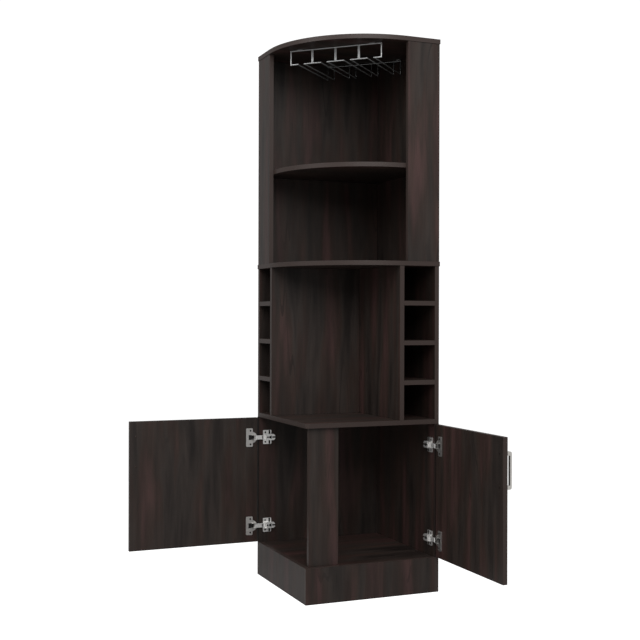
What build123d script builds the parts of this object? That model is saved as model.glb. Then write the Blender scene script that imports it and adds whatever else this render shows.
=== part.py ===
from build123d import *
import os

# Corner bar cabinet, in millimetres. +Z is up, and the origin is the rear corner of the
# square footprint on the floor, where the two back walls meet. The cabinet lies on the
# -X and -Y side of it. Its two open faces look to -X and -Y, and both doors stand open.

# Carcass
side = 464.0  # each side of the square footprint
height = 1800.0  # floor to the top of the top panel
board = 15.0  # thickness of every board
plinth_top = 113.4  # top of the kickboards and of the cupboard floor
counter_top = 562.5
deck_top = 1075.5
shelf_top = 1393.0
lip = 2.0  # how far the deck and the top panel stand past the walls
front_radius = 350.0  # rounded front of the deck and of the top panel
counter_radius = 12.0
wing_width = 114.0
cubby_width = 111.0  # clear width of a bottle column
cubby_rows = 4
post_width = 100.0
door_seat = 0.5  # closed doors to the corner post

# Doors, modelled open at a right angle
hinge_gap = 3.0  # a closed door's hinge edge to its wall
left_door_gap = 0.5  # closed left door short of the front corner
meeting_gap = 16.0  # closed right door short of the left door's inner face
door_reveal = 2.0  # gap above and below a closed door
door_proud = 6.0  # an open door's hinge edge from the carcass face
door_offset = 1.5  # an open door's inner face outside the wall's inner face
lower_hinge_inset = 56.5  # hinge centres from a door's ends
upper_hinge_inset = 68.5
handle_inset = 20.5  # handle from a door's free edge
handle_length = 112.0
handle_drop = 44.6  # a handle's top below its door's top
handle_reach = 24.0
handle_width = 10.0
handle_bar = 6.0
handle_foot = 12.0

# Concealed hinge
cup_radius = 17.5
cup_depth = 11.5
cup_wall = 0.8
cup_edge = 3.0  # board left between a cup's bore and the door's edge
cup_clearance = 0.1
cup_pocket = 23.0  # square pocket for the lever, under the window
ear_height = 64.0
ear_width = 24.0
ear_round = 4.0
ear_offset = 8.5  # ears behind the middle of the cup
flange_rim = 1.8
window_width = 20.0  # window in the flange, square behind and rounded in front
window_height = 17.0
window_offset = 1.5  # window behind the middle of the cup
window_round = 5.0
sheet = 1.2  # pressed steel of flange, arm and knuckle
hinge_play = 0.5  # side clearance between link, knuckle and arm
knuckle_rise = 8.0
knuckle_length = 13.0
plate_height = 48.0
plate_width = 30.0
plate_start = 14.0  # a mounting plate's front edge behind the carcass face
plate_thickness = 2.0
plate_round = 2.0
rail_width = 16.0
arm_rise = 12.0  # height of a mounting plate's rail, where the arm rests
arm_tail = 10.5  # arm past the mounting plate
arm_corner = 5.0  # cut off each corner of the tail
fork_width = 5.5
slot_line = 37.0  # adjusting slots behind the carcass face
slot_offset = 17.0  # outer slots from the arm's middle line
slot_width = 3.2
slot_height = 9.0
key_width = 7.0  # opening through arm and rail
key_height = 5.6
link_height = 6.0  # link's pin above the wall's inner face
link_length = 33.0
link_width = 14.0
link_bar = 3.0
link_eye = 3.0
link_slot = 10.0  # height of the slot in the lever
link_slot_width = 3.4
link_slot_start = 8.6  # slot behind the carcass face
pin_radius = 1.3
pin_clearance = 0.05

# Stemware rack of welded wire, square to the diagonal of the footprint
wire = 3.6
wire_sides = 16  # flats that make up a wire's round section
rack_width = 321.0
rack_drop = 45.0
rack_front = 232.0  # front wire from the footprint's front corner, along the diagonal
rack_clearance = 2.5  # rack's rear corners to the walls
rack_hangers = 3
rack_slot = 20.5  # gap between two feet
end_foot = 26.5  # inward foot at each end of the front wire
post_gap = 0.4  # between a hanger's two posts
tab_length = 18.0
tab_width = 11.4
tab_thickness = 1.0
tab_inset = 32.5

os.makedirs("parts", exist_ok=True)

deck_bottom = deck_top - board
counter_bottom = counter_top - board
top_bottom = height - board
inner_wall = -board  # inner faces of the two back walls
face = -side  # both open faces of the carcass
inner_face = face + board

door_low = plinth_top + door_reveal
door_high = counter_bottom - door_reveal
door_middle = (door_low + door_high) / 2
closed_reach = side - board - hinge_gap
door_widths = {
    "left": closed_reach - left_door_gap,
    "right": closed_reach - board - meeting_gap,
}
handle_middle = door_high - handle_drop - handle_length / 2

hinge_heights = {"lower": door_low + lower_hinge_inset, "upper": door_high - upper_hinge_inset}
cup_centre = -door_proud - cup_edge - cup_radius
ear_centre = cup_centre - ear_offset
plate_end = plate_start + plate_width
knuckle_line = link_width / 2 + hinge_play + sheet / 2
arm_width = 2 * (knuckle_line + sheet / 2 + hinge_play + sheet)
nose_start = board + 2.5  # just behind a closed door's flange
link_pivot = nose_start + 2.5
web_start = board + knuckle_rise + 1.5
rail_start = web_start + 1.5
arm_end = plate_end + arm_tail
pin_bore = pin_radius + pin_clearance

rack_half = rack_width / 2
end_rail = rack_half - end_foot + wire / 2  # outermost rail, at the tip of an end foot
rear_half = end_rail + wire / 2
rack_depth = 2**0.5 * (side - board - rack_clearance) - rear_half - rack_front
rack_foot = (rack_width - 2 * end_foot - (rack_hangers + 1) * rack_slot) / rack_hangers
rack_level = top_bottom - tab_thickness - wire / 2
rack_corner = face + rack_front / 2**0.5


def save(piece, name):
    piece.part.label = name
    export_step(piece.part, f"parts/{name}.step")


# Doors and hinges are drawn on a wall's inner face. Local X runs into the cabinet from the
# carcass face, local Y is vertical, and local Z points away from the wall.
def wall_plane(hand, z):
    if hand == "right":
        return Plane(origin=(inner_wall, face, z), x_dir=(0, 1, 0), z_dir=(-1, 0, 0))
    return Plane(origin=(face, inner_wall, z), x_dir=(1, 0, 0), z_dir=(0, -1, 0))


def side_plane(plane, x, z):
    """The vertical plane square to a wall plane at local x and z: X points off the wall."""
    origin = plane.from_local_coords((x, 0, z))
    return Plane(origin=origin, x_dir=plane.z_dir, z_dir=-plane.x_dir)


def edge_plane(plane, y):
    """The level plane square to a wall plane at local y: X into the cabinet, Y off the wall."""
    origin = plane.from_local_coords((0, y, 0))
    return Plane(origin=origin, x_dir=plane.x_dir, z_dir=-plane.y_dir)


# The rack's plane stands on its front wire: X along the wire, Y up, Z out to the front corner
rack_plane = Plane(
    origin=(rack_corner, rack_corner, rack_level),
    x_dir=(1, -1, 0),
    z_dir=(-1, -1, 0),
)
tab_reach = rack_half - tab_inset
tabs = [(x, depth, way) for x in (-tab_reach, tab_reach) for depth, way in ((0, 1), (rack_depth, -1))]


def rect_between(x, y):
    with Locations(((x[0] + x[1]) / 2, (y[0] + y[1]) / 2)):
        Rectangle(x[1] - x[0], y[1] - y[0])


def straight_board(name, x, y, z):
    """A rectangular board between pairs of low and high coordinates."""
    with BuildPart() as piece:
        with BuildSketch(Plane.XY.offset(z[0])):
            rect_between(x, y)
        extrude(amount=z[1] - z[0])
    save(piece, name)


def rounded_board(name, low, high, radius, bottom):
    """A square board whose front corner is rounded."""
    with BuildPart() as piece:
        with BuildSketch(Plane.XY.offset(bottom)) as outline:
            rect_between((low, high), (low, high))
            corner = outline.vertices().sort_by(Axis((0, 0, 0), (1, 1, 0)))[0]
            fillet(corner, radius)
        extrude(amount=board)
    save(piece, name)


# Lower carcass: two full walls, kickboards, cupboard floor, corner post and counter
straight_board("lower_wall_left", (face, 0), (inner_wall, 0), (0, deck_bottom))
straight_board("lower_wall_right", (inner_wall, 0), (face, inner_wall), (0, deck_bottom))
straight_board("kickboard_right", (face, inner_wall), (face, inner_face), (0, plinth_top))
straight_board("kickboard_left", (face, inner_face), (inner_face, inner_wall), (0, plinth_top))
straight_board(
    "cupboard_floor",
    (inner_face, inner_wall),
    (inner_face, inner_wall),
    (plinth_top - board, plinth_top),
)
post_start = inner_face + door_seat
straight_board(
    "corner_post",
    (post_start, post_start + post_width),
    (post_start, post_start + board),
    (plinth_top, counter_bottom),
)
rounded_board("counter", face, inner_wall, counter_radius, counter_bottom)

# Bottle columns: the right divider runs to the wall and the left one butts against it
divider = inner_wall - cubby_width - board
bay = (counter_top, deck_bottom)
straight_board("divider_right", (divider, divider + board), (face, inner_wall), bay)
straight_board("divider_left", (face, divider), (divider, divider + board), bay)
row_height = (deck_bottom - counter_top - (cubby_rows - 1) * board) / cubby_rows
for row in range(1, cubby_rows):
    shelf_bottom = counter_top + row * row_height + (row - 1) * board
    level = (shelf_bottom, shelf_bottom + board)
    column = (divider + board, inner_wall)
    straight_board(f"cubby_shelf_right_{row}", column, (face, inner_wall), level)
    straight_board(f"cubby_shelf_left_{row}", (face, divider), column, level)

# Upper carcass: deck, walls, front wings, open shelf and top
rounded_board("deck", face - lip, lip, front_radius, deck_bottom)
upper = (deck_top, top_bottom)
wing_end = (-wing_width, 0)
straight_board("upper_wall_left", (inner_face, 0), (inner_wall, 0), upper)
straight_board("upper_wall_right", (inner_wall, 0), (inner_face, inner_wall), upper)
straight_board("wing_left", (face, inner_face), wing_end, upper)
straight_board("wing_right", wing_end, (face, inner_face), upper)
shelf_radius = side - wing_width - board
rounded_board("upper_shelf", inner_face, inner_wall, shelf_radius, shelf_top - board)
rounded_board("top_panel", face - lip, lip, front_radius, top_bottom)


def handle_line(hand):
    return -door_proud - door_widths[hand] + handle_inset


def make_door(hand):
    """A slab with two cup bores near its hinge edge."""
    inside = wall_plane(hand, door_middle).offset(-door_offset)
    width = door_widths[hand]
    rows = [inside.y_dir.Z * (z - door_middle) for z in hinge_heights.values()]
    with BuildPart() as piece:
        with BuildSketch(inside):
            with Locations((-door_proud - width / 2, 0)):
                Rectangle(width, door_high - door_low)
        extrude(amount=-board)
        with BuildSketch(inside):
            with Locations([(cup_centre, row) for row in rows]):
                Circle(cup_radius + cup_clearance)
        extrude(amount=-cup_depth - cup_clearance, mode=Mode.SUBTRACT)
    save(piece, f"{hand}_door")


def make_handle(hand):
    """A bow: a flat grip with a foot at each end, on the door's outer face."""
    plane = wall_plane(hand, handle_middle)
    outside = plane.offset(-door_offset - board)
    with BuildPart() as piece:
        with BuildSketch(side_plane(outside, handle_line(hand), 0)) as bow:
            with Locations((-handle_reach / 2, 0)):
                Rectangle(handle_reach, handle_length)
            fillet(bow.vertices().sort_by(Axis.X)[:2], handle_bar)
            with Locations((-(handle_reach - handle_bar) / 2, 0)):
                Rectangle(
                    handle_reach - handle_bar,
                    handle_length - 2 * handle_foot,
                    mode=Mode.SUBTRACT,
                )
        extrude(amount=handle_width / 2, both=True)
    save(piece, f"{hand}_handle")


def make_cup(hand, level):
    """Door side of a hinge: pressed cup, flange with two ears and a window, and a knuckle."""
    inside = wall_plane(hand, hinge_heights[level]).offset(-door_offset)
    floor = inside.offset(cup_wall - cup_depth)
    with BuildPart() as piece:
        with BuildSketch(inside):
            with Locations((cup_centre, 0)):
                Circle(cup_radius)
        extrude(amount=-cup_depth)
        with BuildSketch(inside) as flange:
            with Locations((ear_centre, 0)):
                Rectangle(ear_width, ear_height)
            fillet(flange.vertices(), ear_round)
            with Locations((cup_centre, 0)):
                Circle(cup_radius + flange_rim)
        extrude(amount=sheet)
        with BuildSketch(floor):
            with Locations((cup_centre, 0)):
                Rectangle(cup_pocket, cup_pocket)
        extrude(amount=cup_depth - cup_wall, mode=Mode.SUBTRACT)
        with BuildSketch(inside) as window:
            with Locations((cup_centre - window_offset, 0)):
                Rectangle(window_width, window_height)
            fillet(window.vertices().sort_by(Axis.X)[2:], window_round)
        extrude(amount=sheet, mode=Mode.SUBTRACT)
        with BuildSketch(floor):
            with Locations([(cup_centre, way * knuckle_line) for way in (-1, 1)]):
                Rectangle(knuckle_length, sheet, align=(Align.MIN, Align.CENTER))
        extrude(amount=cup_depth - cup_wall + knuckle_rise)
    save(piece, f"hinge_cup_{hand}_{level}")


def make_plate(hand, level):
    """Wall side of a hinge: a mounting plate with a raised rail and adjusting slots."""
    plane = wall_plane(hand, hinge_heights[level])
    with BuildPart() as piece:
        with BuildSketch(plane) as base:
            with Locations((plate_start + plate_width / 2, 0)):
                Rectangle(plate_width, plate_height)
            fillet(base.vertices(), plate_round)
            with Locations([(slot_line, way * slot_offset) for way in (-1, 1)]):
                Rectangle(slot_width, slot_height, mode=Mode.SUBTRACT)
            with Locations((slot_line, 0)):
                Rectangle(key_width, key_height, mode=Mode.SUBTRACT)
        extrude(amount=plate_thickness)
        with BuildSketch(plane.offset(plate_thickness)):
            with Locations((rail_start, 0)):
                Rectangle(plate_end - rail_start, rail_width, align=(Align.MIN, Align.CENTER))
            with Locations((slot_line, 0)):
                Rectangle(key_width, key_height, mode=Mode.SUBTRACT)
        extrude(amount=arm_rise - plate_thickness)
    save(piece, f"hinge_plate_{hand}_{level}")


def make_arm(hand, level):
    """A pressed channel over the plate's rail, with a pierced nose and a forked tail."""
    plane = wall_plane(hand, hinge_heights[level])
    under = plane.offset(plate_thickness)
    with BuildPart() as piece:
        with BuildSketch(edge_plane(plane, arm_width / 2)):
            with BuildLine():
                Polyline(
                    (nose_start, plate_thickness),
                    (arm_end, plate_thickness),
                    (arm_end, arm_rise),
                    (web_start, arm_rise),
                    (nose_start, 2 * link_height - plate_thickness),
                    close=True,
                )
            make_face()
            with Locations((link_pivot, link_height)):
                Circle(pin_bore, mode=Mode.SUBTRACT)
        extrude(amount=arm_width)
        with BuildSketch(under):
            with Locations((nose_start, 0)):
                Rectangle(
                    arm_end - nose_start,
                    arm_width - 2 * sheet,
                    align=(Align.MIN, Align.CENTER),
                )
        extrude(amount=arm_rise - plate_thickness, mode=Mode.SUBTRACT)
        with BuildSketch(plane.offset(arm_rise)):
            with Locations((web_start, 0)):
                Rectangle(arm_end - web_start, arm_width, align=(Align.MIN, Align.CENTER))
            with Locations((slot_line, 0)):
                Rectangle(key_width, key_height, mode=Mode.SUBTRACT)
            with Locations((arm_end, 0)):
                Rectangle(2 * arm_tail, fork_width, mode=Mode.SUBTRACT)
        extrude(amount=sheet)
        with BuildSketch(under):
            with Locations([(arm_end, way * arm_width / 2) for way in (-1, 1)]):
                Rectangle(2**0.5 * arm_corner, 2**0.5 * arm_corner, rotation=45)
        extrude(amount=arm_rise + sheet - plate_thickness, mode=Mode.SUBTRACT)
    save(piece, f"hinge_arm_{hand}_{level}")


def make_link(hand, level):
    """The lever that follows a door: an eye on the arm's pin and a slotted bar to the knuckle."""
    plane = wall_plane(hand, hinge_heights[level])
    with BuildPart() as piece:
        with BuildSketch(edge_plane(plane, link_width / 2)):
            with Locations((link_pivot, link_height)):
                Circle(link_eye)
                Rectangle(link_length, link_bar, align=(Align.MAX, Align.CENTER))
            with Locations((link_pivot - link_length, link_height)):
                Circle(link_bar / 2)
            with Locations((link_pivot, link_height)):
                Circle(pin_bore, mode=Mode.SUBTRACT)
        extrude(amount=link_width)
        with BuildSketch(plane.offset(link_height)):
            with Locations((link_slot_start, 0)):
                Rectangle(link_slot_width, link_slot, align=(Align.MIN, Align.CENTER))
        extrude(amount=link_bar, both=True, mode=Mode.SUBTRACT)
    save(piece, f"hinge_link_{hand}_{level}")


hinge_planes = [wall_plane(hand, z) for hand in door_widths for z in hinge_heights.values()]
for hand in door_widths:
    make_door(hand)
    make_handle(hand)
    for level in hinge_heights:
        make_cup(hand, level)
        make_plate(hand, level)
        make_arm(hand, level)
        make_link(hand, level)

with BuildPart() as hinge_pins:
    for plane in hinge_planes:
        with BuildSketch(edge_plane(plane, arm_width / 2)):
            with Locations((link_pivot, link_height)):
                Circle(pin_radius)
        extrude(amount=arm_width)
save(hinge_pins, "hinge_pins")

# Stemware rack: front frame, hangers and their feet, rails, risers, rear wire and tabs
foot_line = -rack_drop
hangers = [(i - (rack_hangers - 1) / 2) * (rack_foot + rack_slot) for i in range(rack_hangers)]
post_offset = (wire + post_gap) / 2
posts = [x + way * post_offset for x in hangers for way in (-1, 1)]
rails = [-end_rail, end_rail]
rails += [x + way * (rack_foot - wire) / 2 for x in hangers for way in (-1, 1)]

# The front frame is one bent wire: its straight lengths overlap at each square bend
frame_points = [
    (-rack_half + end_foot, foot_line),
    (-rack_half, foot_line),
    (-rack_half, 0),
    (rack_half, 0),
    (rack_half, foot_line),
    (rack_half - end_foot, foot_line),
]
with BuildPart() as rack_frame:
    for start, end in zip(frame_points, frame_points[1:]):
        first = rack_plane.from_local_coords((*start, 0))
        last = rack_plane.from_local_coords((*end, 0))
        along = (last - first).normalized()
        before = first - along * (0 if start == frame_points[0] else wire / 2)
        after = last + along * (0 if end == frame_points[-1] else wire / 2)
        with BuildSketch(Plane(origin=before, x_dir=rack_plane.z_dir, z_dir=along)):
            RegularPolygon(wire / 2, wire_sides)
        extrude(amount=(after - before).length)
save(rack_frame, "rack_frame")

under_wire = rack_plane.from_local_coords((0, -wire / 2, 0))
with BuildPart() as rack_posts:
    with BuildSketch(Plane(origin=under_wire, x_dir=rack_plane.x_dir, z_dir=(0, 0, -1))):
        with Locations([(x, 0) for x in posts]):
            RegularPolygon(wire / 2, wire_sides)
    extrude(amount=rack_drop - wire)
save(rack_posts, "rack_posts")

with BuildPart() as rack_feet:
    for x in hangers:
        foot_end = rack_plane.from_local_coords((x - rack_foot / 2, foot_line, 0))
        with BuildSketch(Plane(origin=foot_end, z_dir=rack_plane.x_dir)):
            RegularPolygon(wire / 2, wire_sides)
        extrude(amount=rack_foot)
save(rack_feet, "rack_feet")

with BuildPart() as rack_rails:
    with BuildSketch(rack_plane.offset(-wire / 2)):
        with Locations([(x, foot_line) for x in rails]):
            RegularPolygon(wire / 2, wire_sides)
    extrude(amount=wire - rack_depth)
save(rack_rails, "rack_rails")

under_rear = rack_plane.from_local_coords((0, -wire / 2, -rack_depth))
with BuildPart() as rack_risers:
    with BuildSketch(Plane(origin=under_rear, x_dir=rack_plane.x_dir, z_dir=(0, 0, -1))):
        with Locations([(x, 0) for x in rails]):
            RegularPolygon(wire / 2, wire_sides)
    extrude(amount=rack_drop)
save(rack_risers, "rack_risers")

rear_end = rack_plane.from_local_coords((-rear_half, 0, -rack_depth))
with BuildPart() as rack_rear_wire:
    with BuildSketch(Plane(origin=rear_end, z_dir=rack_plane.x_dir)):
        RegularPolygon(wire / 2, wire_sides)
    extrude(amount=2 * rear_half)
save(rack_rear_wire, "rack_rear_wire")

with BuildPart() as rack_tabs:
    for x, depth, way in tabs:
        edge = rack_plane.from_local_coords((x, wire / 2, way * wire / 2 - depth))
        with BuildSketch(Plane(origin=edge, x_dir=rack_plane.x_dir, z_dir=(0, 0, 1))):
            Rectangle(tab_length, tab_width, align=(Align.CENTER, Align.MIN if way == 1 else Align.MAX))
        extrude(amount=tab_thickness)
save(rack_tabs, "rack_tabs")
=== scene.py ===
import bpy
import bmesh
import math
from mathutils import Matrix, Vector


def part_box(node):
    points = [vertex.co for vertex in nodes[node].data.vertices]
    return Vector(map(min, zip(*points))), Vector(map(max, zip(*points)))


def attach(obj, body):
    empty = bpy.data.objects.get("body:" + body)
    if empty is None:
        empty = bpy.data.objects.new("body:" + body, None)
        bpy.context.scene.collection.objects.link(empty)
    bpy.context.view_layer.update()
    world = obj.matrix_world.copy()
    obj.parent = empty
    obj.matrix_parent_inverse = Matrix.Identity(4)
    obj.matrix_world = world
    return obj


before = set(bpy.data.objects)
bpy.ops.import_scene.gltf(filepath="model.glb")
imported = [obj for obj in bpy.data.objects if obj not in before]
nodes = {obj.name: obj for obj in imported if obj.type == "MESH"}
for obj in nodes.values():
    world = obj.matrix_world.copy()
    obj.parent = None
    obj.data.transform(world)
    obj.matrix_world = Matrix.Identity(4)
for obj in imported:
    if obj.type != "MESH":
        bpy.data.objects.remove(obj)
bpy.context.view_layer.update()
mm = 0.001
print("frame loaded:", len(nodes), "nodes")


# colours are written as sRGB hex and turned linear here
def linear(hexColour):
    channels = [int(hexColour[i:i + 2], 16) / 255 for i in (1, 3, 5)]
    shades = [c / 12.92 if c <= 0.04045 else ((c + 0.055) / 1.055) ** 2.4 for c in channels]
    return (*shades, 1.0)


def newMaterial(name):
    material = bpy.data.materials.new(name)
    material.use_nodes = True
    return material, material.node_tree, material.node_tree.nodes["Principled BSDF"]


# adds one node, sets its properties and sockets, and links what is a socket; i6 is the socket
# at index 6, as the Mix node has several of one name (6 and 7 are its two colours)
def addNode(tree, kind, properties=None, **sockets):
    node = tree.nodes.new(kind)
    for key, value in (properties or {}).items():
        setattr(node, key, value)
    for key, value in sockets.items():
        byIndex = key[0] == "i" and key[1:].isdigit()
        socket = node.inputs[int(key[1:])] if byIndex else node.inputs[key]
        if isinstance(value, bpy.types.NodeSocket):
            tree.links.new(value, socket)
        else:
            socket.default_value = value
    return node


# melamine-faced board with a printed wenge grain: soft bands that turn from grey to red brown,
# faint streaks in them, a few thin dark growth lines and fine pores under a satin skin; the cut
# edges carry a plain, slightly paler band
wenge = {
    "tones": {"dark": "#181311", "grey": "#27211e", "base": "#281e1a", "reddish": "#342422"},
    "stops": {"dark": 0.28, "grey": 0.42, "base": 0.54, "reddish": 0.68},
    "line": "#0d0908",
    "edge": "#302724",
    # each pattern: mm across and along the grain, its shift, then detail, roughness, distortion
    # (real pores are 0.2 mm wide, and are drawn as coarse as they need to show)
    "bands": (48.0, 420.0, 0.0, 4.0, 0.45, 0.35),
    "streaks": (24.0, 240.0, 5.3, 2.0, 0.5, 0.0),
    "growth": (85.0, 1100.0, 9.1, 2.0, 0.4, 0.0),
    "pores": (1.5, 70.0, 1.9, 3.0, 0.6, 0.0),
    # how strongly each shows: the range that is read, and the range that it becomes
    "shade": (0.32, 0.68, 0.76, 1.26),
    "lineShare": (0.42, 0.62, 0.0, 0.5),
    "poreShare": (0.56, 0.7, 0.0, 0.4),
    "edgeShare": (0.45, 0.75, 1.0, 0.0),
    "roughness": (0.3, 0.7, 0.38, 0.5),
    "lineWidth": 0.0045,
    "specular": 0.2,
    "bump": 0.12,
    "bumpDepth": 0.3,  # mm
    "cuts": 3,
    "cutShift": 5.3,  # between two cuts of the print, and below between two ways of laying it
    "layingShift": 17,
    "shiftShares": (1.0, 0.7, 1.3),
}


def wengeMelamine(name, along, across, offset):
    material, tree, surface = newMaterial(name)
    texture = addNode(tree, "ShaderNodeTexCoord")
    grain = {}
    for pattern in ("bands", "streaks", "growth", "pores"):
        width, length, shift, detail, roughness, distortion = wenge[pattern]
        scale = [1 / (width * mm)] * 3
        scale["xyz".index(along)] = 1 / (length * mm)
        start = [offset * share for share in wenge["shiftShares"]]
        start[0] += shift
        place = addNode(tree, "ShaderNodeMapping", Vector=texture.outputs["Object"], Scale=scale,
                        Location=start)
        noise = addNode(tree, "ShaderNodeTexNoise", Vector=place.outputs[0], Scale=1.0,
                        Detail=detail, Roughness=roughness, Distortion=distortion)
        grain[pattern] = noise.outputs["Fac"]
    # faces that don't look across the board's thickness are its banded edges
    facing = addNode(tree, "ShaderNodeSeparateXYZ", Vector=texture.outputs["Normal"])
    level = addNode(tree, "ShaderNodeMath", {"operation": "ABSOLUTE"},
                    i0=facing.outputs["xyz".index(across)])

    strength = {}
    for share, source in (("shade", grain["streaks"]), ("lineShare", grain["streaks"]),
                          ("poreShare", grain["pores"]), ("edgeShare", level.outputs[0]),
                          ("roughness", grain["pores"])):
        low, high, toLow, toHigh = wenge[share]
        ranged = addNode(tree, "ShaderNodeMapRange", Value=source,
                         **{"From Min": low, "From Max": high, "To Min": toLow, "To Max": toHigh})
        strength[share] = ranged.outputs[0]

    ramp = addNode(tree, "ShaderNodeValToRGB", Fac=grain["bands"])
    stops = ramp.color_ramp.elements
    for stop, tone in zip(stops, ("dark", "reddish")):
        stop.position = wenge["stops"][tone]
        stop.color = linear(wenge["tones"][tone])
    for tone in ("grey", "base"):
        stops.new(wenge["stops"][tone]).color = linear(wenge["tones"][tone])
    shaded = addNode(tree, "ShaderNodeMix", {"data_type": "RGBA", "blend_type": "MULTIPLY"},
                     i0=1.0, i6=ramp.outputs[0], i7=strength["shade"])
    # a growth line runs wherever its slow noise crosses the middle
    middle = addNode(tree, "ShaderNodeMath", {"operation": "COMPARE"},
                     i0=grain["growth"], i1=0.5, i2=wenge["lineWidth"])
    line = addNode(tree, "ShaderNodeMath", {"operation": "MULTIPLY"},
                   i0=middle.outputs[0], i1=strength["lineShare"])
    lined = addNode(tree, "ShaderNodeMix", {"data_type": "RGBA"},
                    i0=line.outputs[0], i6=shaded.outputs[2], i7=linear(wenge["line"]))
    pored = addNode(tree, "ShaderNodeMix", {"data_type": "RGBA"},
                    i0=strength["poreShare"], i6=lined.outputs[2], i7=linear(wenge["line"]))
    banded = addNode(tree, "ShaderNodeMix", {"data_type": "RGBA"},
                     i0=strength["edgeShare"], i6=pored.outputs[2], i7=linear(wenge["edge"]))
    tree.links.new(banded.outputs[2], surface.inputs["Base Color"])
    tree.links.new(strength["roughness"], surface.inputs["Roughness"])
    surface.inputs["Specular IOR Level"].default_value = wenge["specular"]
    bump = addNode(tree, "ShaderNodeBump", Height=grain["pores"], Strength=wenge["bump"],
                   Distance=wenge["bumpDepth"] * mm)
    tree.links.new(bump.outputs[0], surface.inputs["Normal"])
    return material


# plate over pressed, drawn or turned steel: a mirror softened by the faint marks of brushing; real
# marks are too fine to show, so they are drawn a few mm wide, and "read" is the part of them that
# turns smoother or rougher
plating = {"read": (0.3, 0.7), "rougher": (0.8, 1.3), "detail": 4.0,
           "bump": 0.05, "bumpDepth": 0.2}


def platedSteel(name, colour, roughness, brushWidth, metallic=1.0):
    material, tree, surface = newMaterial(name)
    surface.inputs["Base Color"].default_value = linear(colour)
    surface.inputs["Metallic"].default_value = metallic
    place = addNode(tree, "ShaderNodeTexCoord").outputs["Object"]
    spread = addNode(tree, "ShaderNodeMapping", Vector=place,
                     Scale=(1 / (brushWidth * mm),) * 3)
    marks = addNode(tree, "ShaderNodeTexNoise", Vector=spread.outputs[0], Scale=1.0,
                    Detail=plating["detail"])
    low, high = plating["read"]
    smooth, rough = (roughness * factor for factor in plating["rougher"])
    gloss = addNode(tree, "ShaderNodeMapRange", Value=marks.outputs["Fac"],
                    **{"From Min": low, "From Max": high, "To Min": smooth, "To Max": rough})
    tree.links.new(gloss.outputs[0], surface.inputs["Roughness"])
    bump = addNode(tree, "ShaderNodeBump", Height=marks.outputs["Fac"],
                   Strength=plating["bump"], Distance=plating["bumpDepth"] * mm)
    tree.links.new(bump.outputs[0], surface.inputs["Normal"])
    return material


# moulded black plastic: dull, with the faint pebble of the mould, in mm and coarser than the real
# one, which is too fine to show
mould = {"pebble": 0.8, "detail": 2.0, "roughness": (0.5, 0.7), "bump": 0.2, "bumpDepth": 0.2}


def mouldedPlastic(name, colour, specular):
    material, tree, surface = newMaterial(name)
    surface.inputs["Base Color"].default_value = linear(colour)
    surface.inputs["Specular IOR Level"].default_value = specular
    place = addNode(tree, "ShaderNodeTexCoord").outputs["Object"]
    pebble = addNode(tree, "ShaderNodeTexNoise", Vector=place, Scale=1 / (mould["pebble"] * mm),
                     Detail=mould["detail"])
    smooth, rough = mould["roughness"]
    gloss = addNode(tree, "ShaderNodeMapRange", Value=pebble.outputs["Fac"],
                    **{"To Min": smooth, "To Max": rough})
    tree.links.new(gloss.outputs[0], surface.inputs["Roughness"])
    bump = addNode(tree, "ShaderNodeBump", Height=pebble.outputs["Fac"],
                   Strength=mould["bump"], Distance=mould["bumpDepth"] * mm)
    tree.links.new(bump.outputs[0], surface.inputs["Normal"])
    return material


# one wenge for each way that a board's grain and thickness can lie, in a few cuts of the print
grains = {}
for laying, (along, across) in enumerate((("z", "x"), ("z", "y"), ("x", "z"))):
    grains[along, across] = [
        wengeMelamine(f"wengeMelamine_{along}{across}{cut}", along, across,
                      wenge["cutShift"] * cut + wenge["layingShift"] * laying)
        for cut in range(wenge["cuts"])]
# nickel plate tumbled in a barrel: pale, and it scatters some of its light
nickel = platedSteel("nickelPlatedSteel", "#f4f3f1", 0.34, 3.0, 0.86)
# the same plate on the drawn cup: a shade darker and more like bare metal
cupNickel = platedSteel("nickelPlatedCup", "#d9d7d4", 0.34, 3.0, 0.97)
# zinc plate on the rack's screws: grey with a small sharp highlight
zinc = platedSteel("zincPlatedScrew", "#74716d", 0.3, 1.5)
# black oxide on the hinge screws, made near black as painted shade: each reads as the dark dot of
# a shaded screw recess
darkScrewPaintedShade = platedSteel("blackOxideScrewPaintedShade", "#181514", 0.45, 1.5)
# bronzed handle screws: dark brown, so that they all but sink into the board
bronzed = platedSteel("bronzedScrew", "#3a3330", 0.4, 1.5)
# chrome plate on drawn wire: a bright line with soft ends
chrome = platedSteel("chromedWire", "#b0b1b1", 0.6, 4.0, 0.8)
# chrome on the rails, darkened as painted shade for the shade under the top: a dim grey line
railChromePaintedShade = platedSteel("chromedRailPaintedShade", "#7c7d7d", 0.6, 4.0, 0.5)
# chrome at the rack's rear, which nothing rubs, darkened as painted shade for the shade under the
# top: thin glints on dark
shadedChrome = platedSteel("chromedRearWirePaintedShade", "#808181", 0.24, 4.0)
# satin nickel on cast zinc handles: an even, silky grey
satinNickel = platedSteel("satinNickelHandle", "#dbd8d3", 0.38, 1.2)
# nylon of the dampers: soft black with a grey bloom, also painted shade in the cup's deep window
nylon = mouldedPlastic("mouldedBlackNylon", "#131211", 0.3)
# acetal of the slot bushes and cams: deep black, hardly any sheen; on the bushes it is painted
# shade of the plate's open slots
acetalAndPaintedShade = mouldedPlastic("mouldedBlackAcetal", "#0a0a0a", 0.12)
# ABS edging: as dark as the darkest grain, painted shade so that its lit face hides the seam
# beside an open door
edgingPaintedShade = mouldedPlastic("darkAbsEdgingPaintedShade", "#181311", 0.1)
print("materials ready")


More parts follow.
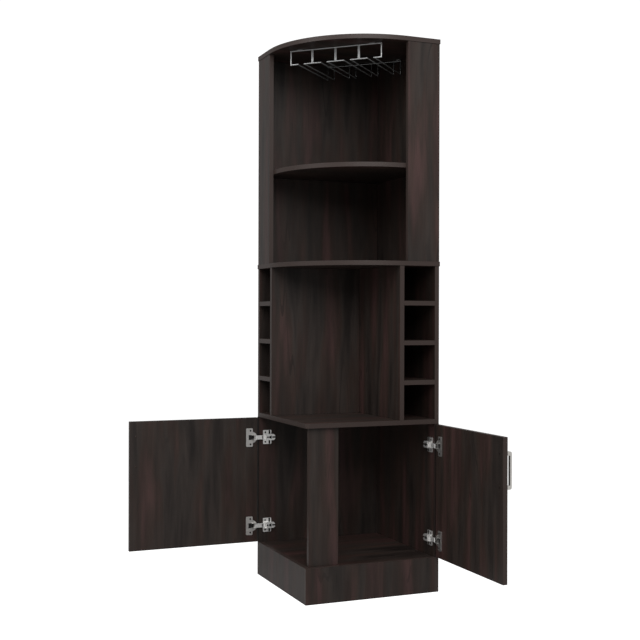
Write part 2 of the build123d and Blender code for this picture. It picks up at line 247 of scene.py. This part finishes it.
# which finish each CAD node takes; a board picks its cut of the print by its name
def finishOf(node):
    if node in ("rack_frame", "rack_posts", "rack_feet", "rack_tabs"):
        return chrome
    if node.startswith("rack"):
        return railChromePaintedShade if node == "rack_rails" else shadedChrome
    if node.startswith("hinge"):
        return cupNickel if node.startswith("hinge_cup") else nickel
    if node.endswith("handle"):
        return satinNickel
    low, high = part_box(node)
    across = min("xyz", key=lambda axis: high["xyz".index(axis)] - low["xyz".index(axis)])
    cuts = grains["x" if across == "z" else "z", across]
    return cuts[sum(map(ord, node)) % len(cuts)]


# pressed and drawn metal is shaded smooth up to its crisp edges, and the rest gets soft edges
smoothMetals = (nickel, cupNickel, chrome, railChromePaintedShade, shadedChrome)
edges = {"board": 0.6, "segments": 2, "angle": 35.0, "weld": 0.01}
for name, node in nodes.items():
    finish = finishOf(name)
    smooth = finish in smoothMetals
    node.data.materials.clear()
    node.data.materials.append(finish)
    node.data.polygons.foreach_set("use_smooth", [smooth] * len(node.data.polygons))
    weld = node.modifiers.new("weld", "WELD")
    weld.merge_threshold = edges["weld"] * mm
    if smooth:
        split = node.modifiers.new("crispEdge", "EDGE_SPLIT")
        split.split_angle = math.radians(edges["angle"])
    else:
        bevel = node.modifiers.new("softEdge", "BEVEL")
        bevel.width = edges["board"] * mm
        bevel.segments = edges["segments"]
        bevel.limit_method = "ANGLE"
        bevel.angle_limit = math.radians(edges["angle"])
print("frame dressed")


def vertsOf(parts):
    return [part for part in parts if isinstance(part, bmesh.types.BMVert)]


def openEdges(shape):
    return [edge for edge in shape.edges if edge.is_boundary]


# draws a shape's open rim down to a level and closes it there
def closeDown(shape, level):
    wall = bmesh.ops.extrude_edge_only(shape, edges=openEdges(shape))["geom"]
    for vert in vertsOf(wall):
        vert.co.z = level
    bmesh.ops.holes_fill(shape, edges=openEdges(shape), sides=0)


# copies a shape made at the origin to each place, and deletes the first
def copyTo(shape, places):
    first = list(shape.verts) + list(shape.edges) + list(shape.faces)
    for place in places:
        copied = bmesh.ops.duplicate(shape, geom=first)["geom"]
        bmesh.ops.transform(shape, matrix=place, verts=vertsOf(copied))
    bmesh.ops.delete(shape, geom=vertsOf(first), context="VERTS")


def finishPiece(name, shape, finish, body):
    bmesh.ops.recalc_face_normals(shape, faces=shape.faces)
    mesh = bpy.data.meshes.new(name)
    shape.to_mesh(mesh)
    shape.free()
    mesh.materials.append(finish)
    piece = bpy.data.objects.new(name, mesh)
    bpy.context.scene.collection.objects.link(piece)
    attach(piece, body)


# the open sides of the cabinet in mm, as both hinges and both doors are placed from them
carcass = {"side": 464.0, "board": 15.0}
offWall = {"left": Vector((0, -1, 0)), "right": Vector((-1, 0, 0))}


# a point so far into the cabinet from its open face, off the wall's inner face, and up
def atWall(hand, into, off, height):
    along, across = (into - carcass["side"]) * mm, (-carcass["board"] - off) * mm
    return Vector((along, across, height * mm) if hand == "left" else (across, along, height * mm))


# takes a shape drawn in mm, with x into the cabinet, y up and z off the wall, to a hinge
def ontoWall(shape, hand, middle):
    for vert in shape.verts:
        vert.co = atWall(hand, vert.co.x, vert.co.z, middle + vert.co.y)


headShape = {"rimHeight": 0.5, "crossTaper": 0.75}  # shares of a head's height and of its cross


# round heads with a cross sunk in them; as the extrude is given faces and not their edges, it also
# keeps the first faces, which cover the cross
def screwHeads(name, places, facing, head, finish, body):
    shape = bmesh.new()
    bmesh.ops.create_grid(shape, x_segments=5, y_segments=5, size=1.0)
    half = head["diameter"] / 2 * mm
    # the grid's lines lie at fifths: the rim at 5, the tips of the cross at 3, its sides at 1
    lines = {5: 1.0, 3: head["crossReach"], 1: head["crossWidth"]}
    for vert in shape.verts:
        x, y = (math.copysign(lines[round(abs(c) * 5)], c) for c in vert.co[:2])
        rim = max(abs(x), abs(y)) == 1.0
        spread = math.hypot(x, y) if rim else 1.0
        rise = headShape["rimHeight"] if rim else 1.0
        vert.co = (x / spread * half, y / spread * half, head["height"] * rise * mm)
    arms = []
    for face in shape.faces:
        near, far = sorted(abs(c) for c in face.calc_center_median()[:2])
        if near < 1e-6 and far < head["crossReach"] * half:
            arms.append(face)
    sunk = vertsOf(bmesh.ops.extrude_face_region(shape, geom=arms)["geom"])
    bmesh.ops.translate(shape, verts=sunk, vec=(0, 0, -head["crossDepth"] * mm))
    taper = headShape["crossTaper"]
    bmesh.ops.scale(shape, verts=sunk, vec=(taper, taper, 1))
    closeDown(shape, -head["seat"] * mm)
    turn = facing.to_track_quat("Z", "Y").to_matrix().to_4x4()
    copyTo(shape, [Matrix.Translation(place) @ turn for place in places])
    finishPiece(name, shape, finish, body)


hinges = {
    "heights": {"lower": 171.9, "upper": 477.0},
    # screws: mm into the cabinet, off the wall, and up or down from the hinge's middle
    "earScrews": (-31.5, -0.3, 23.5),
    "plateScrews": (21.8, 2.0, 16.5),
    "armScrew": (27.6, 13.2),
}
flangeHead = {"diameter": 6.0, "height": 1.3, "seat": 0.2,
              "crossReach": 0.7, "crossWidth": 0.26, "crossDepth": 1.2}
armHead = {"diameter": 6.0, "height": 0.9, "seat": 0.2,
           "crossReach": 0.7, "crossWidth": 0.28, "crossDepth": 0.8}
hingeSpots = [(hand, middle, hand.capitalize() + level.capitalize())
              for hand in ("left", "right") for level, middle in hinges["heights"].items()]
for hand, middle, end in hingeSpots:
    for part, body in (("earScrews", hand + "_door"), ("plateScrews", "cabinet")):
        into, off, up = hinges[part]
        places = [atWall(hand, into, off, middle + way * up) for way in (-1, 1)]
        screwHeads(part + end, places, offWall[hand], flangeHead, darkScrewPaintedShade, body)
    into, off = hinges["armScrew"]
    screwHeads("armScrew" + end, [atWall(hand, into, off, middle)], offWall[hand], armHead,
               darkScrewPaintedShade, "cabinet")
print("hinge screws made")

# grooved bushes in each plate's two slots, black and wider than the slots as painted shade of
# open slots: half sizes across and up, and levels off the wall
slotShadeBush = {"into": 37.0, "up": 17.0, "seat": 1.9, "top": 2.5, "outer": (2.9, 6.4),
            "inner": (1.5, 4.4), "groove": 0.35, "corner": 1.4, "segments": 3}


def slotBushesPaintedShade(name, hand, middle):
    shape = bmesh.new()
    bmesh.ops.create_grid(shape, x_segments=3, y_segments=3, size=1.0)
    for vert in shape.verts:
        half = [slotShadeBush["outer" if abs(vert.co[k]) > 0.9 else "inner"][k] for k in (0, 1)]
        vert.co = (math.copysign(half[0], vert.co.x), math.copysign(half[1], vert.co.y),
                   slotShadeBush["top"])
    centre = [face for face in shape.faces if face.calc_center_median().xy.length < 0.1]
    groove = bmesh.ops.extrude_discrete_faces(shape, faces=centre)["faces"]
    bmesh.ops.translate(shape, verts=groove[0].verts, vec=(0, 0, -slotShadeBush["groove"]))
    closeDown(shape, slotShadeBush["seat"])
    corners = [edge for edge in shape.edges
               if abs(edge.verts[0].co.z - edge.verts[1].co.z) > 0.1
               and abs(edge.verts[0].co.x) > slotShadeBush["inner"][0] + 0.1
               and abs(edge.verts[0].co.y) > slotShadeBush["inner"][1] + 0.1]
    bmesh.ops.bevel(shape, geom=corners, offset=slotShadeBush["corner"],
                    segments=slotShadeBush["segments"], profile=0.5, affect="EDGES", material=-1)
    copyTo(shape, [Matrix.Translation((slotShadeBush["into"], way * slotShadeBush["up"], 0))
                   for way in (-1, 1)])
    ontoWall(shape, hand, middle)
    finishPiece(name, shape, acetalAndPaintedShade, "cabinet")


# the cam on each arm, in mm: a wedge that points to the door
armCam = {"tip": 32.4, "back": 41.0, "tipHalf": 2.6, "backHalf": 5.8, "seat": 13.1, "top": 14.0,
          "corner": 0.25, "segments": 2}


def armCamWedge(name, hand, middle):
    shape = bmesh.new()
    bmesh.ops.create_grid(shape, x_segments=1, y_segments=1, size=1.0)
    for vert in shape.verts:
        place, half = ("tip", "tipHalf") if vert.co.x < 0 else ("back", "backHalf")
        vert.co = (armCam[place], math.copysign(armCam[half], vert.co.y), armCam["seat"])
    raised = bmesh.ops.extrude_face_region(shape, geom=list(shape.faces))["geom"]
    bmesh.ops.translate(shape, verts=vertsOf(raised),
                        vec=(0, 0, armCam["top"] - armCam["seat"]))
    bmesh.ops.bevel(shape, geom=list(shape.edges), offset=armCam["corner"],
                    segments=armCam["segments"], profile=0.5, affect="EDGES", material=-1)
    ontoWall(shape, hand, middle)
    finishPiece(name, shape, acetalAndPaintedShade, "cabinet")


for hand, middle, end in hingeSpots:
    slotBushesPaintedShade("slotBushesPaintedShade" + end, hand, middle)
    armCamWedge("armCam" + end, hand, middle)
print("slot bushes and arm cams made")

# the damper that fills a cup behind its lever, in mm: a low tray with a taller ribbed block at the
# rear, its black also painted shade in the cup's deep window; the block keeps its first faces
# underneath, so closeDown only reaches the tray's sides
damper = {"far": -37.7, "near": -15.3, "blockNear": -29.5, "halfHeight": 11.2, "ribs": 7,
          "floor": -12.2, "tray": -10.2, "block": -4.6, "groove": 1.4, "taper": 0.9}


def cupDamper(name, hand, middle):
    shape = bmesh.new()
    bmesh.ops.create_grid(shape, x_segments=2, y_segments=damper["ribs"], size=1.0)
    for vert in shape.verts:
        into = {-1: damper["far"], 0: damper["blockNear"], 1: damper["near"]}[round(vert.co.x)]
        vert.co = (into, vert.co.y * damper["halfHeight"], damper["tray"])
    rear = [face for face in shape.faces if face.calc_center_median().x < damper["blockNear"]]
    block = bmesh.ops.extrude_face_region(shape, geom=rear)["geom"]
    bmesh.ops.translate(shape, verts=vertsOf(block),
                        vec=(0, 0, damper["block"] - damper["tray"]))
    tops = [face for face in shape.faces if face.calc_center_median().z > damper["block"] - 0.01]
    tops.sort(key=lambda face: face.calc_center_median().y)
    for face in tops[1::2]:
        groove = bmesh.ops.extrude_discrete_faces(shape, faces=[face])["faces"]
        bmesh.ops.translate(shape, verts=groove[0].verts, vec=(0, 0, -damper["groove"]))
        bmesh.ops.scale(shape, verts=groove[0].verts, vec=(damper["taper"], damper["taper"], 1),
                        space=Matrix.Translation(-groove[0].calc_center_median()))
    closeDown(shape, damper["floor"])
    ontoWall(shape, hand, middle)
    finishPiece(name, shape, nylon, hand + "_door")


for hand, middle, end in hingeSpots:
    cupDamper("cupDamper" + end, hand, middle)
print("cup dampers made")

# each handle is held by two screws let into the door's inner face; in mm
handleScrews = {"left": -431.0, "right": -400.5, "inner": -1.5, "middle": 444.9, "apart": 100.0}
handleHead = {"diameter": 7.0, "height": 0.5, "seat": 0.3,
              "crossReach": 0.6, "crossWidth": 0.16, "crossDepth": 0.45}
for hand in ("left", "right"):
    heights = [handleScrews["middle"] + way * handleScrews["apart"] / 2 for way in (-1, 1)]
    places = [atWall(hand, handleScrews[hand], handleScrews["inner"], height)
              for height in heights]
    screwHeads("handleScrews" + hand.capitalize(), places, offWall[hand], handleHead, bronzed,
               hand + "_door")

# four screws hold the rack's tabs up to the top panel; in mm
rack = {"front": (-299.95, -299.95), "depth": 261.85, "tabLine": 128.0, "screwIn": 6.2,
        "under": 1784.0}
tabHead = {"diameter": 7.4, "height": 1.9, "seat": 0.2,
           "crossReach": 0.62, "crossWidth": 0.18, "crossDepth": 1.2}
sideways, rearward = Vector((1, -1, 0)).normalized(), Vector((1, 1, 0)).normalized()
rackFront = Vector((*rack["front"], rack["under"]))
tabPlaces = [(rackFront + sideways * across + rearward * depth) * mm
             for across in (-rack["tabLine"], rack["tabLine"])
             for depth in (rack["screwIn"], rack["depth"] - rack["screwIn"])]
screwHeads("tabScrews", tabPlaces, Vector((0, 0, -1)), tabHead, zinc, "cabinet")
print("handle and rack screws made")

# a thick band on the front edge of each lower wall, rounded more on the cupboard's side, closes
# most of the seam beside an open door; its near-black edging is painted shade there; in mm
wallBand = {"thickness": 1.8, "inner": 1.2, "outer": 0.3, "low": 114.4, "high": 547.0,
            "segments": 4}
for hand in ("left", "right"):
    shape = bmesh.new()
    bmesh.ops.create_cube(shape, size=1.0)
    for vert in shape.verts:
        into = -wallBand["thickness"] if vert.co.x < 0 else 0.0
        off = -carcass["board"] if vert.co.y < 0 else 0.0
        vert.co = atWall(hand, into, off, wallBand["high" if vert.co.z > 0 else "low"])
    reach, width = ("x", "y") if hand == "left" else ("y", "x")
    uprights = [edge for edge in shape.edges
                if abs(edge.verts[0].co.z - edge.verts[1].co.z) > 0.1
                and getattr(edge.verts[0].co, reach) < -carcass["side"] * mm - 1e-6]
    uprights.sort(key=lambda edge: getattr(edge.verts[0].co, width))
    for edge, radius in zip(uprights, (wallBand["inner"], wallBand["outer"])):
        bmesh.ops.bevel(shape, geom=[edge], offset=radius * mm, segments=wallBand["segments"],
                        profile=0.5, affect="EDGES", material=-1)
    finishPiece("wallBand" + hand.capitalize(), shape, edgingPaintedShade, "cabinet")
print("wall bands made")

# pale floor and backdrop: both look white to the camera and light the room more dimly
studio = {
    "sweep": 1.08,
    "room": 0.474,
    "floorSeen": 1.0,
    "floorGlow": 0.288,
    "paper": "#8c8c8c",
    "paperRoughness": 0.9,
    "white": "#ffffff",
    "floorRadius": 2.4,
    "floorSides": 96,
    # lamps: place and target in metres, size, and watts
    "lamps": {
        "keyLeft": ((-4.0, -0.5, 2.0), (-0.2, -0.3, 1.25), 2.0, 14),
        "keyHigh": ((-3.4, -0.8, 3.2), (-0.2, -0.3, 1.3), 1.6, 44),
        "fillHigh": ((-1.3, -3.8, 3.6), (-0.2, -0.2, 1.2), 3.4, 205),
        "fillRight": ((1.6, -4.2, 2.6), (-0.2, -0.2, 1.2), 2.0, 10),
    },
}


# one strength for what the camera sees and another for the light that is given
def seenAndGiven(tree, seen, given):
    rays = addNode(tree, "ShaderNodeLightPath")
    chosen = addNode(tree, "ShaderNodeMapRange", Value=rays.outputs["Is Camera Ray"],
                     **{"To Min": given, "To Max": seen})
    return chosen.outputs[0]


floorMesh = bpy.data.meshes.new("studioFloor")
shape = bmesh.new()
bmesh.ops.create_circle(shape, cap_ends=True, segments=studio["floorSides"],
                        radius=studio["floorRadius"])
shape.to_mesh(floorMesh)
shape.free()
floor = bpy.data.objects.new("studioFloor", floorMesh)
bpy.context.scene.collection.objects.link(floor)
# matt studio paper: no shine at all
paper, paperTree, paperSurface = newMaterial("paleStudioPaper")
paperSurface.inputs["Base Color"].default_value = linear(studio["paper"])
paperSurface.inputs["Emission Color"].default_value = linear(studio["white"])
paperSurface.inputs["Roughness"].default_value = studio["paperRoughness"]
paperTree.links.new(seenAndGiven(paperTree, studio["floorSeen"], studio["floorGlow"]),
                    paperSurface.inputs["Emission Strength"])
floorMesh.materials.append(paper)

world = bpy.data.worlds.new("studio")
bpy.context.scene.world = world
world.use_nodes = True
background = world.node_tree.nodes["Background"]
background.inputs["Color"].default_value = linear(studio["white"])
world.node_tree.links.new(seenAndGiven(world.node_tree, studio["sweep"], studio["room"]),
                          background.inputs["Strength"])

for name, (place, target, size, watts) in studio["lamps"].items():
    lamp = bpy.data.lights.new(name, "AREA")
    lamp.shape = "SQUARE"
    lamp.size = size
    lamp.energy = watts
    light = bpy.data.objects.new(name, lamp)
    light.location = place
    light.rotation_euler = (Vector(target) - Vector(place)).to_track_quat("-Z", "Y").to_euler()
    bpy.context.scene.collection.objects.link(light)
print("studio lit")

# camera: its place in mm, its angles in radians, and its lens in pixels of a 640 pixel frame
view = {
    "place": (-1698.07, -3638.90, 885.47),
    "turn": 0.4024,
    "pitch": 0.0012,
    "roll": 0.0026,
    "focal": 1099.92,
    "centre": (341.22, 318.41),
    "frame": 640.0,
    "sensor": 36.0,  # mm
    "farthest": 60.0,  # m
}
cameraData = bpy.data.cameras.new("camera")
cameraData.sensor_width = view["sensor"]
cameraData.lens = view["focal"] / view["frame"] * view["sensor"]
cameraData.shift_x = 0.5 - view["centre"][0] / view["frame"]
cameraData.shift_y = view["centre"][1] / view["frame"] - 0.5
cameraData.clip_end = view["farthest"]
camera = bpy.data.objects.new("camera", cameraData)
flat = Vector((math.sin(view["turn"]), math.cos(view["turn"]), 0))
ahead = flat * math.cos(view["pitch"]) + Vector((0, 0, math.sin(view["pitch"])))
right = Vector((flat.y, -flat.x, 0))
up = right.cross(ahead)
rolledRight = right * math.cos(view["roll"]) + up * math.sin(view["roll"])
rolledUp = up * math.cos(view["roll"]) - right * math.sin(view["roll"])
turn = Matrix((rolledRight, rolledUp, -ahead)).transposed()
camera.matrix_world = Matrix.Translation(Vector(view["place"]) * mm) @ turn.to_4x4()
bpy.context.scene.collection.objects.link(camera)
bpy.context.scene.camera = camera
bpy.context.scene.view_settings.view_transform = "Standard"

print("done")
